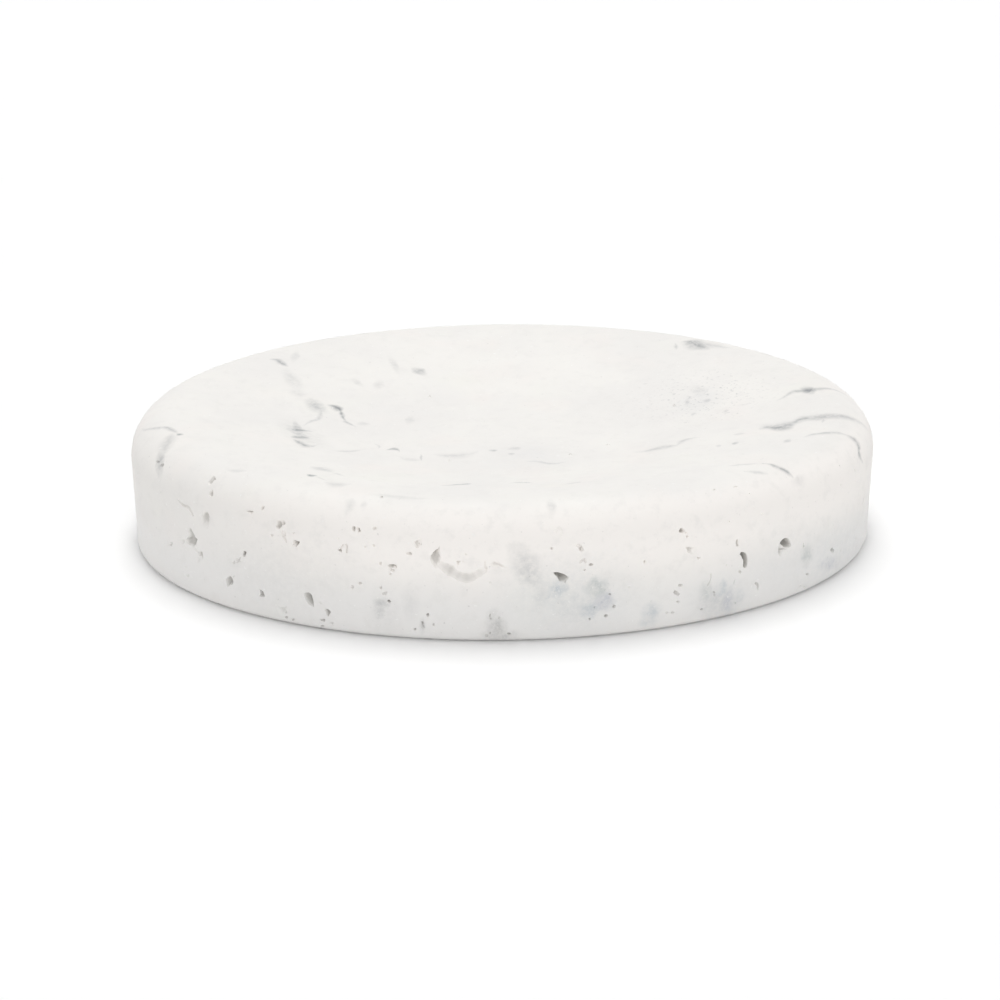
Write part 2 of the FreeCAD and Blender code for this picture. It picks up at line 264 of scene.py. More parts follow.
# Faint veins on top: width in pixels, darkness, darkest share of the length, and the line
VEIN_PIXELS = (
    (3.2, 0.46, 0.5, (268, 359), (277.4, 359.9), (281, 362.6), (288.5, 367)),
    (3.6, 0.26, 0.5, (320, 408), (319, 418), (311, 421.5), (303, 426)),
    (4.4, 0.72, 0.62, (326, 404.6), (332, 405.6), (337, 408), (341.6, 411.8)),
    (3.6, 0.6, 0.35, (339.5, 409.6), (342, 414), (343.8, 419), (347.5, 422.4)),
    (2.4, 0.34, 0.2, (343.5, 420.4), (349, 423.6), (357, 427)),
    (3, 0.16, 0.5, (356, 424), (363, 423.7), (371, 424.3)),
    (9, 0.34, 0.5, (292, 427), (298, 427), (303, 428)),
    (2.4, 0.55, 0.25, (291.5, 430), (300, 430.2), (313.5, 431.5)),
    (3.6, 0.42, 0.35, (291, 437), (300, 437.2), (311, 436.6)),
    (4.6, 0.46, 0.45, (293, 438.5), (300, 443), (306.1, 446), (320, 444)),
    (2.2, 0.2, 0.5, (330, 450.6), (346, 451.4), (363, 449.6)),
    (2.6, 0.2, 0.5, (373, 443), (379, 446), (378, 449)),
    (3, 0.5, 0.35, (384, 451), (390.3, 448.9), (396, 449.2), (399, 453)),
    (4, 0.12, 0.6, (398, 456), (409, 459.6), (423, 460)),
    (2.6, 0.32, 0.5, (420.6, 454), (421.3, 457), (421.8, 461)),
    (5, 0.18, 0.4, (432, 454.4), (451, 455.8), (467.9, 454.4), (479, 450.6)),
    (2.2, 0.34, 0.5, (488.5, 450.2), (493.5, 450.6), (499, 450)),
    (2.6, 0.26, 0.6, (506, 449.4), (513, 448.6), (522, 447.6)),
    (2.4, 0.24, 0.5, (507.6, 453.7), (511, 454), (515, 453.6)),
    (2.2, 0.2, 0.6, (525, 461.4), (538, 461.7), (550.7, 463.5), (568, 461.4)),
    (8, 0.26, 0.4, (311, 466.5), (321.4, 468.9), (333, 472.3)),
    (2.6, 0.18, 0.4, (332, 472), (339, 474.4), (346, 476.6)),
    (3.8, 0.66, 0.45, (306.4, 474.4), (312.5, 475.7), (318, 475.8)),
    (2.2, 0.16, 0.3, (316, 476), (321, 478.4), (328, 481.4)),
    (6, 0.18, 0.5, (323, 481.6), (338, 484.6), (353, 484)),
    (2.4, 0.46, 0.82, (438, 485.8), (450, 485.2), (458, 484.5), (471.5, 483.7)),
    (2.2, 0.3, 0.6, (508, 483.2), (519.8, 482.4), (535, 483.1)),
    (2.4, 0.16, 0.8, (560, 484.7), (571, 483.4), (582, 481.6)),
    (4.8, 0.14, 0.4, (353, 498), (349.5, 505.9), (344, 513.4)),
    (2.4, 0.11, 0.3, (369, 494.4), (387.8, 495.7), (413.3, 498.3), (435, 498.3)),
    (2.4, 0.12, 0.5, (360, 505.6), (364, 504), (368.4, 503)),
    (3.4, 0.3, 0.8,
        (141, 428.8), (149.5, 429.1), (160.4, 427.5), (166.9, 427.5), (173.4, 430.7), (179, 434),
    ),
    (2.6, 0.55, 0.5, (177, 433.4), (180.4, 434.6), (184.6, 434.4)),
    (10, 0.24, 0.5, (174.5, 432), (170, 438), (165.8, 444.8), (162.5, 455.7), (157, 462.5)),
    (8, 0.56, 0.35, (682.5, 341.2), (690, 341.8), (698, 345.4), (710.5, 349.4)),
    (5, 0.22, 0.25, (700, 342.6), (713, 345.6), (732, 348.4)),
    (4, 0.24, 0.5, (676.6, 343), (676.2, 346.5), (675.8, 350)),
    (3, 0.36, 0.42,
        (775, 401.6), (783.9, 397.3), (792.5, 392.2), (803, 390.6),
        (818, 388.9), (833.9, 389.6), (842.5, 393),
        (853, 400.4),
    ),
    (6, 0.66, 0.55, (797, 391.2), (803, 390.6), (809.8, 390.4), (818, 388.9)),
    (8.5, 0.56, 0.58,
        (758, 429.4), (765, 427.7), (775.3, 427.8), (783.9, 426.6), (792.5, 423.2), (797, 421),
    ),
    (5.4, 0.46, 0.45,
        (770, 428.2), (783.9, 426.6), (792.5, 423.2), (802.9, 418.9),
        (813.2, 418), (827, 416.3), (842.5, 416.3),
        (854.5, 419.7), (863.1, 424.9), (869, 431.8),
    ),
    (2.6, 0.24, 0.4, (824.6, 417.6), (823, 420.4), (821, 423)),
    (2.4, 0.3, 0.4, (802.5, 437.6), (813.2, 434.4), (825.3, 433.1), (840.8, 433.5), (852, 437.4)),
    (3.4, 0.46, 0.72,
        (844, 434.4), (849, 436.4), (856.3, 442.1), (858.8, 449), (859.7, 455.9), (863.4, 463.6),
    ),
    (2, 0.18, 0.5, (725, 466.6), (745, 464.6), (761, 463.6)),
    (2, 0.46, 0.78, (758, 463.6), (768.4, 463.8), (778.8, 467.9), (787.4, 472.2), (793.4, 477)),
    (8, 0.12, 0.4, (796.4, 473.6), (799.4, 480), (803.4, 489)),
    (2, 0.2, 0.5, (742, 471.2), (756.4, 472.2), (770, 474.4)),
    (4.6, 0.28, 0.72, (633, 452.8), (647.9, 450.7), (663.4, 447.3), (678.6, 445.2)),
    (3.6, 0.24, 0.5, (676, 446), (684, 440.4), (692.7, 437.8), (702, 437.2)),
    (2.2, 0.18, 0.5, (732, 434.6), (739, 434), (746, 433.4)),
    (9, 0.16, 0.5, (388.6, 364), (393, 365), (398, 363.4)),
    (6, 0.38, 0.45, (412, 372.4), (416.5, 372), (424.4, 368.6)),
    (6, 0.16, 0.5, (353, 383.4), (357.1, 382.8), (361, 381.4)),
    (6, 0.14, 0.5, (372, 383.4), (378.8, 384.9), (385, 386)),
    (4, 0.22, 0.5, (684, 402.4), (687.1, 402.1), (691, 401.6)),
    (3, 0.24, 0.5, (702, 400.4), (706.4, 400.8), (711, 400)),
    (8, 0.12, 0.5, (690, 392), (698, 390.4), (707, 388)),
    (3, 0.18, 0.5, (690.4, 413.4), (693.5, 413.7), (697, 413.4)),
    (3, 0.18, 0.5, (722.6, 411), (725.4, 411.2), (729, 410.4)),
    (2.4, 0.14, 0.5, (226, 470), (234, 470.8), (248, 470.9)),
    (9, 0.36, 0.5, (155, 466.4), (160, 461), (166, 454.6)),
    (7, 0.15, 0.5, (290, 355.4), (295, 356), (300, 356.6)),
    (7, 0.12, 0.5, (404, 420), (410, 420), (416, 420.5)),
    (6, 0.16, 0.5, (546, 506), (551, 506), (557, 505.6)),
    (3.6, 0.4, 0.5, (732, 443.2), (736, 443), (740, 442.6)),
    (3, 0.22, 0.5, (715, 446.2), (718.5, 446), (722, 445.6)),
    (4.6, 0.3, 0.5, (783, 441), (787.5, 441), (792, 441)),
)

# Clouds in the stone of the wall and top: tint, pixel x and y, width and height in pixels, strength,
# and lean in degrees where there is one
CLOUDS = (
    ("grey", 527, 568, 20, 36, 0.4, -24), ("dark", 497, 629, 18, 22, 0.5),
    ("dark", 499.5, 635, 28, 10, 0.42), ("dark", 492, 617, 8, 13, 0.34),
    ("grey", 381, 603.5, 14, 10, 0.55), ("grey", 379, 610.5, 11, 16, 0.42),
    ("grey", 409, 603, 13, 26, 0.18), ("grey", 422.4, 625.8, 6, 11, 0.36),
    ("grey", 236, 563, 18, 12, 0.16), ("grey", 541, 594, 12, 26, 0.18, 8),
    ("grey", 718, 602, 34, 24, 0.36), ("grey", 575, 606, 44, 30, 0.14),
    ("green", 597, 587, 17, 16, 0.62), ("green", 706.5, 590.5, 10, 13, 0.46),
    ("green", 806.5, 555.5, 9, 15, 0.55), ("cool", 558, 589, 18, 17, 0.8),
    ("cool", 549.5, 594, 4, 24, 0.45, 31), ("cool", 589.5, 610, 19, 14, 0.75),
    ("cool", 651.5, 613, 16, 18, 0.62), ("cool", 645.5, 622, 10, 8, 0.4),
    ("cool", 722, 589.5, 7, 16, 0.65), ("cool", 738, 597, 10, 16, 0.34),
    ("lilac", 604, 601.5, 15, 14, 0.85), ("lilac", 728, 600.5, 8, 17, 0.7),
    ("lilac", 829.5, 564, 15, 9, 0.46), ("lilac", 528, 461, 60, 28, 0.12),
    ("lilac", 698, 402, 30, 20, 0.2), ("cool", 572, 594, 110, 66, 0.24),
    ("cool", 722, 598, 50, 36, 0.22), ("cool", 804, 556, 90, 60, 0.14),
    ("grey", 384, 618, 28, 50, 0.14), ("grey", 280, 576, 110, 70, 0.12),
    ("cool", 840, 556, 60, 60, 0.22), ("grey", 315.5, 406, 14, 10, 0.7),
    ("grey", 297, 432.5, 10, 12, 0.56), ("grey", 304, 436, 26, 20, 0.2),
    ("grey", 292, 379.5, 12, 14, 0.32), ("grey", 297, 393, 11, 6, 0.26),
)
CLOUD_TINTS = {
    "grey": (186, 187, 187),
    "green": (190, 195, 192),
    "cool": (202, 207, 210),
    "lilac": (199, 201, 207),
    "dark": (166, 166, 164),
}
BACK_CLOUD_COUNT = 10

# Patch of dots on top: pixel x and y, width, height and strength
SPECKLE_FIELD = (706, 398, 100, 40, 0.3)


# Camera

def towards(turn, height):
    """Direction at a turn from the front and a height above the floor."""
    level = math.cos(height)
    return Vector((math.sin(turn) * level, -math.cos(turn) * level, math.sin(height)))


def make_camera():
    back = towards(CAMERA_AZIMUTH, CAMERA_ELEVATION)
    data = bpy.data.cameras.new("photo_camera")
    data.sensor_fit = "HORIZONTAL"
    data.sensor_width = SENSOR_WIDTH
    data.lens = CAMERA_LENS
    camera = bpy.data.objects.new("photo_camera", data)
    camera.location = CAMERA_AIM + back * CAMERA_DISTANCE
    camera.rotation_mode = "QUATERNION"
    camera.rotation_quaternion = (-back).to_track_quat("-Z", "Y")
    bpy.context.scene.collection.objects.link(camera)
    bpy.context.scene.camera = camera
    bpy.context.view_layer.update()
    return camera


CAMERA = make_camera()
EYE = CAMERA.matrix_world.translation.copy()
VIEW_TURN = CAMERA.matrix_world.to_3x3()
FOCAL_PIXELS = PIXELS * CAMERA_LENS / SENSOR_WIDTH
PIXELS_PER_METRE = FOCAL_PIXELS / CAMERA_DISTANCE


def pixel_ray(x, y):
    return (VIEW_TURN @ Vector((x - PIXELS / 2, PIXELS / 2 - y, -FOCAL_PIXELS))).normalized()


def to_pixel(point):
    seen = VIEW_TURN.transposed() @ (point - EYE)
    scale = FOCAL_PIXELS / -seen.z
    return Vector((PIXELS / 2 + seen.x * scale, PIXELS / 2 - seen.y * scale))


# Mesh helpers

SHARP_ANGLE = math.radians(40)
QUARTER = math.pi / 2


def add_mesh(name, vertices, faces):
    mesh = bpy.data.meshes.new(name)
    mesh.from_pydata(vertices, [], faces)
    mesh.update()
    piece = bpy.data.objects.new(name, mesh)
    bpy.context.scene.collection.objects.link(piece)
    return piece


def face_outward(mesh):
    shell = bmesh.new()
    shell.from_mesh(mesh)
    bmesh.ops.recalc_face_normals(shell, faces=shell.faces)
    shell.to_mesh(mesh)
    shell.free()


def shade(mesh):
    """Smooth faces with sharp edges where the surface turns."""
    mesh.shade_smooth()
    mesh.set_sharp_from_angle(angle=SHARP_ANGLE)


def on_circle(centre, radius, angle):
    return centre[0] + radius * math.cos(angle), centre[1] + radius * math.sin(angle)


def line_points(start, end, steps):
    return [Vector(start).lerp(Vector(end), i / steps) for i in range(steps)]


def arc_points(centre, radius, start, end, steps):
    angles = [start + (end - start) * i / steps for i in range(steps)]
    return [Vector(on_circle(centre, radius, angle)) for angle in angles]


def turned_faces(rings, segments):
    """Faces of a closed turned body: a point, rings of points, and a last point."""
    faces = []
    last = 1 + rings * segments
    for i in range(segments):
        j = (i + 1) % segments
        faces.append((0, 1 + j, 1 + i))
        for ring in range(rings - 1):
            low = 1 + ring * segments
            high = low + segments
            faces.append((low + i, low + j, high + j, high + i))
        top = 1 + (rings - 1) * segments
        faces.append((top + i, top + j, last))
    return faces


def turned_body(profile, segments, centre=(0, 0), stretch=1.0):
    """Turned body whose profile of reach and height starts and ends on its axis."""
    x, y = centre
    vertices = [(x, y, profile[0].y)]
    for reach, height in profile[1:-1]:
        for i in range(segments):
            angle = 2 * math.pi * i / segments
            vertices.append((x + reach * math.cos(angle), y + stretch * reach * math.sin(angle), height))
    vertices.append((x, y, profile[-1].y))
    return vertices, turned_faces(len(profile) - 2, segments)


# Blank of the dish

DISH_STEPS = {
    "base": 9, "base edge": 6, "wall": 18, "rim": 22,
    "inner rim": 6, "slope": 8, "floor edge": 7, "floor": 4,
}


def dish_profile():
    """Section from the middle of the base round the wall and rim to the middle of the basin."""
    base_z, top_z = DISH_LOW.z, DISH_HIGH.z
    rim = (DISH_HIGH.x - RIM_RADIUS, top_z - RIM_RADIUS)
    wall_top = on_circle(rim, RIM_RADIUS, -WALL_DRAFT)
    base_arc_z = base_z + BASE_EDGE_RADIUS
    wall_foot_z = base_arc_z - BASE_EDGE_RADIUS * math.sin(WALL_DRAFT)
    wall_foot_x = wall_top[0] - (wall_top[1] - wall_foot_z) * math.tan(WALL_DRAFT)
    base_arc_x = wall_foot_x - BASE_EDGE_RADIUS * math.cos(WALL_DRAFT)
    arcs = RIM_INNER_RADIUS + BASIN_FLOOR_RADIUS
    slope_run = (BASIN_DEPTH - arcs * (1 - math.cos(BASIN_SLOPE))) / math.tan(BASIN_SLOPE)
    floor_x = rim[0] - arcs * math.sin(BASIN_SLOPE) - slope_run
    floor_z = top_z - BASIN_DEPTH
    inner = (rim[0], top_z - RIM_INNER_RADIUS)
    slope_turn = QUARTER + BASIN_SLOPE
    slope_start = on_circle(inner, RIM_INNER_RADIUS, slope_turn)
    floor_arc = (floor_x, floor_z + BASIN_FLOOR_RADIUS)
    floor_turn = BASIN_SLOPE - QUARTER
    slope_end = on_circle(floor_arc, BASIN_FLOOR_RADIUS, floor_turn)
    steps = DISH_STEPS
    return [
        *line_points((0, base_z), (base_arc_x, base_z), steps["base"]),
        *arc_points((base_arc_x, base_arc_z), BASE_EDGE_RADIUS, -QUARTER, -WALL_DRAFT, steps["base edge"]),
        *line_points((wall_foot_x, wall_foot_z), wall_top, steps["wall"]),
        *arc_points(rim, RIM_RADIUS, -WALL_DRAFT, QUARTER, steps["rim"]),
        *arc_points(inner, RIM_INNER_RADIUS, QUARTER, slope_turn, steps["inner rim"]),
        *line_points(slope_start, slope_end, steps["slope"]),
        *arc_points(floor_arc, BASIN_FLOOR_RADIUS, floor_turn, -QUARTER, steps["floor edge"]),
        *line_points((floor_x, floor_z), (0, floor_z), steps["floor"]),
        Vector((0, floor_z)),
    ]


BLANK_VERTICES, BLANK_FACES = turned_body(dish_profile(), DISH_SEGMENTS, stretch=WIDTH_SHARE)
BLANK_TREE = BVHTree.FromPolygons(BLANK_VERTICES, BLANK_FACES)


# Places on the blank

FLAT_LIMIT = 1e-4
PROBE_STEP = 1e-4


def seat_on_blank(origin, direction):
    """Where a ray meets the blank: the point, a level tangent, a rising tangent and the normal."""
    point, normal, _, _ = BLANK_TREE.ray_cast(origin, direction)
    level = Vector((0, 0, 1)).cross(normal)
    if level.length < FLAT_LIMIT:
        level = Vector((1, 0, 0))
    level.normalize()
    return point, level, normal.cross(level), normal


def seat_of_pixel(x, y):
    return seat_on_blank(EYE, pixel_ray(x, y))


def seat_on_wall(turn_share, height):
    angle = 2 * math.pi * turn_share
    outward = Vector((math.cos(angle), WIDTH_SHARE * math.sin(angle), 0))
    return seat_on_blank(Vector((0, 0, height)) + outward, -outward.normalized())


def mouth_vectors(point, level, rise, width, height, lean_deg=0):
    """Half axes on the surface that look width by height pixels to the camera."""
    here = to_pixel(point)
    along_level = (to_pixel(point + level * PROBE_STEP) - here) / PROBE_STEP
    along_rise = (to_pixel(point + rise * PROBE_STEP) - here) / PROBE_STEP
    to_surface = Matrix(((along_level.x, along_rise.x), (along_level.y, along_rise.y))).inverted()
    lean = math.radians(lean_deg)
    wide = to_surface @ Vector((math.cos(lean), math.sin(lean))) * (width / 2)
    tall = to_surface @ Vector((-math.sin(lean), math.cos(lean))) * (height / 2)
    return level * wide.x + rise * wide.y, level * tall.x + rise * tall.y


def leaning(level, rise, width, height, lean_deg):
    """Half axes on the surface of a mouth of real width and height."""
    lean = math.radians(lean_deg)
    wide = level * math.cos(lean) + rise * math.sin(lean)
    tall = rise * math.cos(lean) - level * math.sin(lean)
    return wide * (width / 2), tall * (height / 2)


def between(low_high, share):
    return low_high[0] + (low_high[1] - low_high[0]) * share


# Cutters for pits, grooves and hollows

COARSE_BALL = 2
FINE_BALL = 3
FINE_MOUTH_PIXELS = 16
EGG_ROUGHNESS = 0.42
EGG_WAVES = (1.5, 3.7)
EGG_SHIFT = Vector((1.7, 0.9, 2.3))
SOFT_DEPTH_SHARE = 0.3
SOFT_RAISE = 0.75
HOLLOW_WAVES = (1300, 3100)
HOLLOW_SHIFT = Vector((2.1, 0.7, 1.3))
GROOVE_WAVES = 1400
GROOVE_UNEVENNESS = 0.35


def unit_ball(detail):
    ball = bmesh.new()
    bmesh.ops.create_icosphere(ball, subdivisions=detail, radius=1)
    vertices = [v.co.copy() for v in ball.verts]
    faces = [tuple(v.index for v in f.verts) for f in ball.faces]
    ball.free()
    return vertices, faces


UNIT_BALLS = {detail: unit_ball(detail) for detail in (COARSE_BALL, FINE_BALL)}


def egg_cutter(point, wide, tall, normal, depth, seed, detail, corner=0.0, corner_deg=0.0, soft=False):
    """Rough egg that hollows the surface at a point, or skims it where the hollow is soft."""
    directions, faces = UNIT_BALLS[detail]
    shift = EGG_SHIFT * seed
    raised = SOFT_RAISE if soft else 0.0
    spread = 1 / math.sqrt(1 - raised ** 2)
    inward = normal * (depth / (1 - raised))
    centre = point + inward * raised
    vertices = []
    for d in directions:
        reach = 1 + EGG_ROUGHNESS * noise.noise(d * EGG_WAVES[0] + shift)
        reach += EGG_ROUGHNESS / 2 * noise.noise(d * EGG_WAVES[1] - shift)
        if corner:
            angle = math.atan2(d.y, d.x) - math.radians(corner_deg)
            reach *= 1 + corner * math.cos(CORNER_COUNT * angle) * (1 - d.z ** 2)
        flat = reach * spread
        vertices.append(centre + wide * (d.x * flat) + tall * (d.y * flat) + inward * (d.z * reach))
    return vertices, faces


def wall_egg(seat, width, height, lean, depth, seed, detail, **form):
    """Egg with a mouth of real width and height, seated on the surface."""
    point, level, rise, normal = seat
    wide, tall = leaning(level, rise, width, height, lean)
    return egg_cutter(point, wide, tall, normal, depth, seed, detail, **form)


def curve_point(a, b, c, d, t):
    """Point between b and c of a smooth line that also passes a and d."""
    bend = (a * 2 - b * 5 + c * 4 - d) * t ** 2 + (b * 3 - a - c * 3 + d) * t ** 3
    return (b * 2 + (c - a) * t + bend) / 2


def open_line(points, steps):
    ends = [points[0] * 2 - points[1]] + points + [points[-1] * 2 - points[-2]]
    spans = zip(ends, ends[1:], ends[2:], ends[3:])
    return [curve_point(*span, i / steps) for span in spans for i in range(steps)] + [points[-1]]


def closed_line(points, steps):
    around = points[-1:] + points + points[:2]
    spans = zip(around, around[1:], around[2:], around[3:])
    return [curve_point(*span, i / steps) for span in spans for i in range(steps)]


def hollow_cutter(seed, depth, steepness, deepest, *mouth):
    """Rough bowl whose mouth follows a line of pixels and whose walls run in to the deepest one."""
    rim = [seat_of_pixel(*p)[0] for p in closed_line([Vector(p) for p in mouth], OUTLINE_STEPS)]
    middle, _, _, normal = seat_of_pixel(*deepest)
    reach = sum((p - middle).length for p in rim) / len(rim)
    rough = min(reach * HOLLOW_ROUGHNESS, depth * HOLLOW_ROUGHNESS * 2)
    shift = HOLLOW_SHIFT * seed
    vertices = [middle + normal * depth]
    for ring in range(HOLLOW_RINGS):
        turn = (ring / HOLLOW_RINGS * (1 + HOLLOW_OVERRUN) - HOLLOW_OVERRUN) * QUARTER
        inward = (1 - steepness) * turn / QUARTER + steepness * (1 - math.cos(turn))
        for p in rim:
            place = p.lerp(middle, inward) - normal * (depth * math.sin(turn))
            uneven = noise.noise_vector(place * HOLLOW_WAVES[0] + shift)
            uneven += noise.noise_vector(place * HOLLOW_WAVES[1] - shift) / 2
            vertices.append(place + uneven * rough)
    vertices.append(middle - normal * depth)
    return vertices, turned_faces(HOLLOW_RINGS, len(rim))


def groove_cutter(seed, depth_share, *points):
    """Closed tube along a line of pixels, half sunk into the surface."""
    if depth_share > SOFT_GROOVE_SHARE:
        depth_share *= NARROW_DEEPENING
    line = open_line([Vector(p) for p in points], GROOVE_STEPS)
    seats = [seat_of_pixel(p.x, p.y) for p in line]
    count = len(line)
    vertices = [seats[0][0]]
    for i, (point, _, _, normal) in enumerate(seats):
        ahead = seats[min(i + 1, count - 1)][0] - seats[max(i - 1, 0)][0]
        side = ahead.cross(normal).normalized()
        uneven = 1 + GROOVE_UNEVENNESS * noise.noise(point * GROOVE_WAVES + Vector((seed, 0, 0)))
        half = line[i].z / 2 / PIXELS_PER_METRE * uneven
        for k in range(GROOVE_SIDES):
            angle = 2 * math.pi * k / GROOVE_SIDES
            sunk = normal * (2 * half * depth_share * math.sin(angle))
            vertices.append(point + side * (half * math.cos(angle)) + sunk)
    vertices.append(seats[-1][0])
    return vertices, turned_faces(count, GROOVE_SIDES)


def small_pits():
    cutters = []
    for seed, (x, y, width, height, depth_share, *lean) in enumerate(SMALL_PITS, 1):
        point, level, rise, normal = seat_of_pixel(x, y)
        wide, tall = mouth_vectors(point, level, rise, width, height, *lean)
        depth = depth_share * NARROW_DEEPENING * math.sqrt(width * height) / PIXELS_PER_METRE
        detail = FINE_BALL if width * height > FINE_MOUTH_PIXELS else COARSE_BALL
        soft = depth_share < SOFT_DEPTH_SHARE
        cutters.append(egg_cutter(point, wide, tall, normal, depth, seed, detail, soft=soft))
    return cutters


def back_pits(rng):
    cutters = []
    for i in range(BACK_PIT_COUNT):
        turn_share = between(BACK_TURN_SHARES, (i + GOLDEN_SHARE) / BACK_PIT_COUNT)
        height = DISH_HIGH.z * between(BACK_HEIGHT_SHARES, i * GOLDEN_SHARE % 1)
        width, tall, depth, lean = BACK_PIT_MOUTHS[i % len(BACK_PIT_MOUTHS)]
        seat = seat_on_wall(turn_share, height)
        corner = CORNER_SHARE if i % ODD_ONE_IN == 1 else 0.0
        turn = rng.uniform(0, 360 / CORNER_COUNT)
        cutters.append(wall_egg(
            seat, width, tall, lean, depth, BACK_PIT_SEED + i, FINE_BALL, corner=corner, corner_deg=turn,
        ))
    for i in range(BACK_DENT_COUNT):
        turn_share = between(BACK_TURN_SHARES, rng.random())
        seat = seat_on_wall(turn_share, between(PORE_HEIGHTS, rng.random()))
        width = rng.uniform(*BACK_DENT_MOUTH)
        tall = width * rng.uniform(*BACK_DENT_SHAPE)
        lean = rng.uniform(*BACK_DENT_LEAN)
        soft = i % ODD_ONE_IN == 0
        depth = width * (SOFT_DENT_SHARE if soft else DENT_SHARE)
        cutters.append(wall_egg(seat, width, tall, lean, depth, BACK_DENT_SEED + i, FINE_BALL, soft=soft))
    return cutters


def pores(rng):
    cutters = []
    for i in range(PORE_COUNT):
        seat = seat_on_wall(rng.random(), between(PORE_HEIGHTS, rng.random()))
        width = between(PORE_MOUTH, rng.random() ** 2)
        tall = width * rng.uniform(*PORE_SHAPE)
        lean = rng.uniform(0, 180)
        depth = width * PORE_DEPTH_SHARE
        cutters.append(wall_egg(seat, width, tall, lean, depth, PORE_SEED + i, COARSE_BALL))
    return cutters


def pad_circle(place):
    """Centre and radius of a pad."""
    low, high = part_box(f"foot_pad_{place}")
    return ((low.x + high.x) / 2, (low.y + high.y) / 2), (high.x - low.x) / 2


def recess_cutters():
    cutters = []
    top = DISH_LOW.z + RECESS_DEPTH
    for place in PAD_PLACES:
        centre, radius = pad_circle(place)
        radius += RECESS_CLEARANCE
        profile = [Vector(p) for p in ((0, -top), (radius, -top), (radius, top), (0, top))]
        vertices, faces = turned_body(profile, RECESS_SEGMENTS, centre)
        cutters.append(([Vector(v) for v in vertices], faces))
    return cutters


# Dish

# Depths that set the painted shade in the hollows
HOLLOW_FULL_DEPTH = 0.0006
HOLLOW_MOST = 2.0


def apart_groups(cutters):
    """Sorts cutters into groups whose members do not touch each other."""
    groups = []
    for vertices, faces in cutters:
        middle = sum(vertices, Vector()) / len(vertices)
        radius = max((v - middle).length for v in vertices)
        for group in groups:
            if all((middle - m).length > radius + r for _, _, m, r in group):
                group.append((vertices, faces, middle, radius))
                break
        else:
            groups.append([(vertices, faces, middle, radius)])
    return groups


def cut_away(piece, group):
    vertices = []
    faces = []
    for shape_vertices, shape_faces, _, _ in group:
        start = len(vertices)
        vertices += shape_vertices
        faces += [tuple(start + i for i in face) for face in shape_faces]
    cutter = add_mesh("cutter", vertices, faces)
    face_outward(cutter.data)
    change = piece.modifiers.new("cut", "BOOLEAN")
    change.operation = "DIFFERENCE"
    change.solver = "MANIFOLD"
    change.object = cutter
    graph = bpy.context.evaluated_depsgraph_get()
    made = bpy.data.meshes.new_from_object(piece.evaluated_get(graph))
    piece.modifiers.clear()
    old = piece.data
    piece.data = made
    bpy.data.meshes.remove(old)
    old = cutter.data
    bpy.data.objects.remove(cutter)
    bpy.data.meshes.remove(old)


def paint_points(piece):
    """Stores how deep each point lies in a hollow, which sets the painted shade there."""
    mesh = piece.data
    layer = mesh.attributes.new("hollow", "FLOAT", "POINT")
    for i, vertex in enumerate(mesh.vertices):
        gap = BLANK_TREE.find_nearest(vertex.co)[3]
        layer.data[i].value = min(HOLLOW_MOST, gap / HOLLOW_FULL_DEPTH)


def make_dish(material):
    rng = random.Random(SEED)
    piece = add_mesh("stone_dish", BLANK_VERTICES, BLANK_FACES)
    face_outward(piece.data)
    cutters = recess_cutters()
    cutters += [groove_cutter(seed, *row) for seed, row in enumerate(DRAWN_GROOVES)]
    cutters += [hollow_cutter(seed, *row) for seed, row in enumerate(DRAWN_HOLLOWS)]
    cutters += small_pits() + back_pits(rng) + pores(rng)
    for group in apart_groups(cutters):
        cut_away(piece, group)
    paint_points(piece)
    shade(piece.data)
    piece.data.materials.clear()
    piece.data.materials.append(material)
    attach(piece, "root")
    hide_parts("dish_body")


# Materials

CURVE_LIMIT = 2


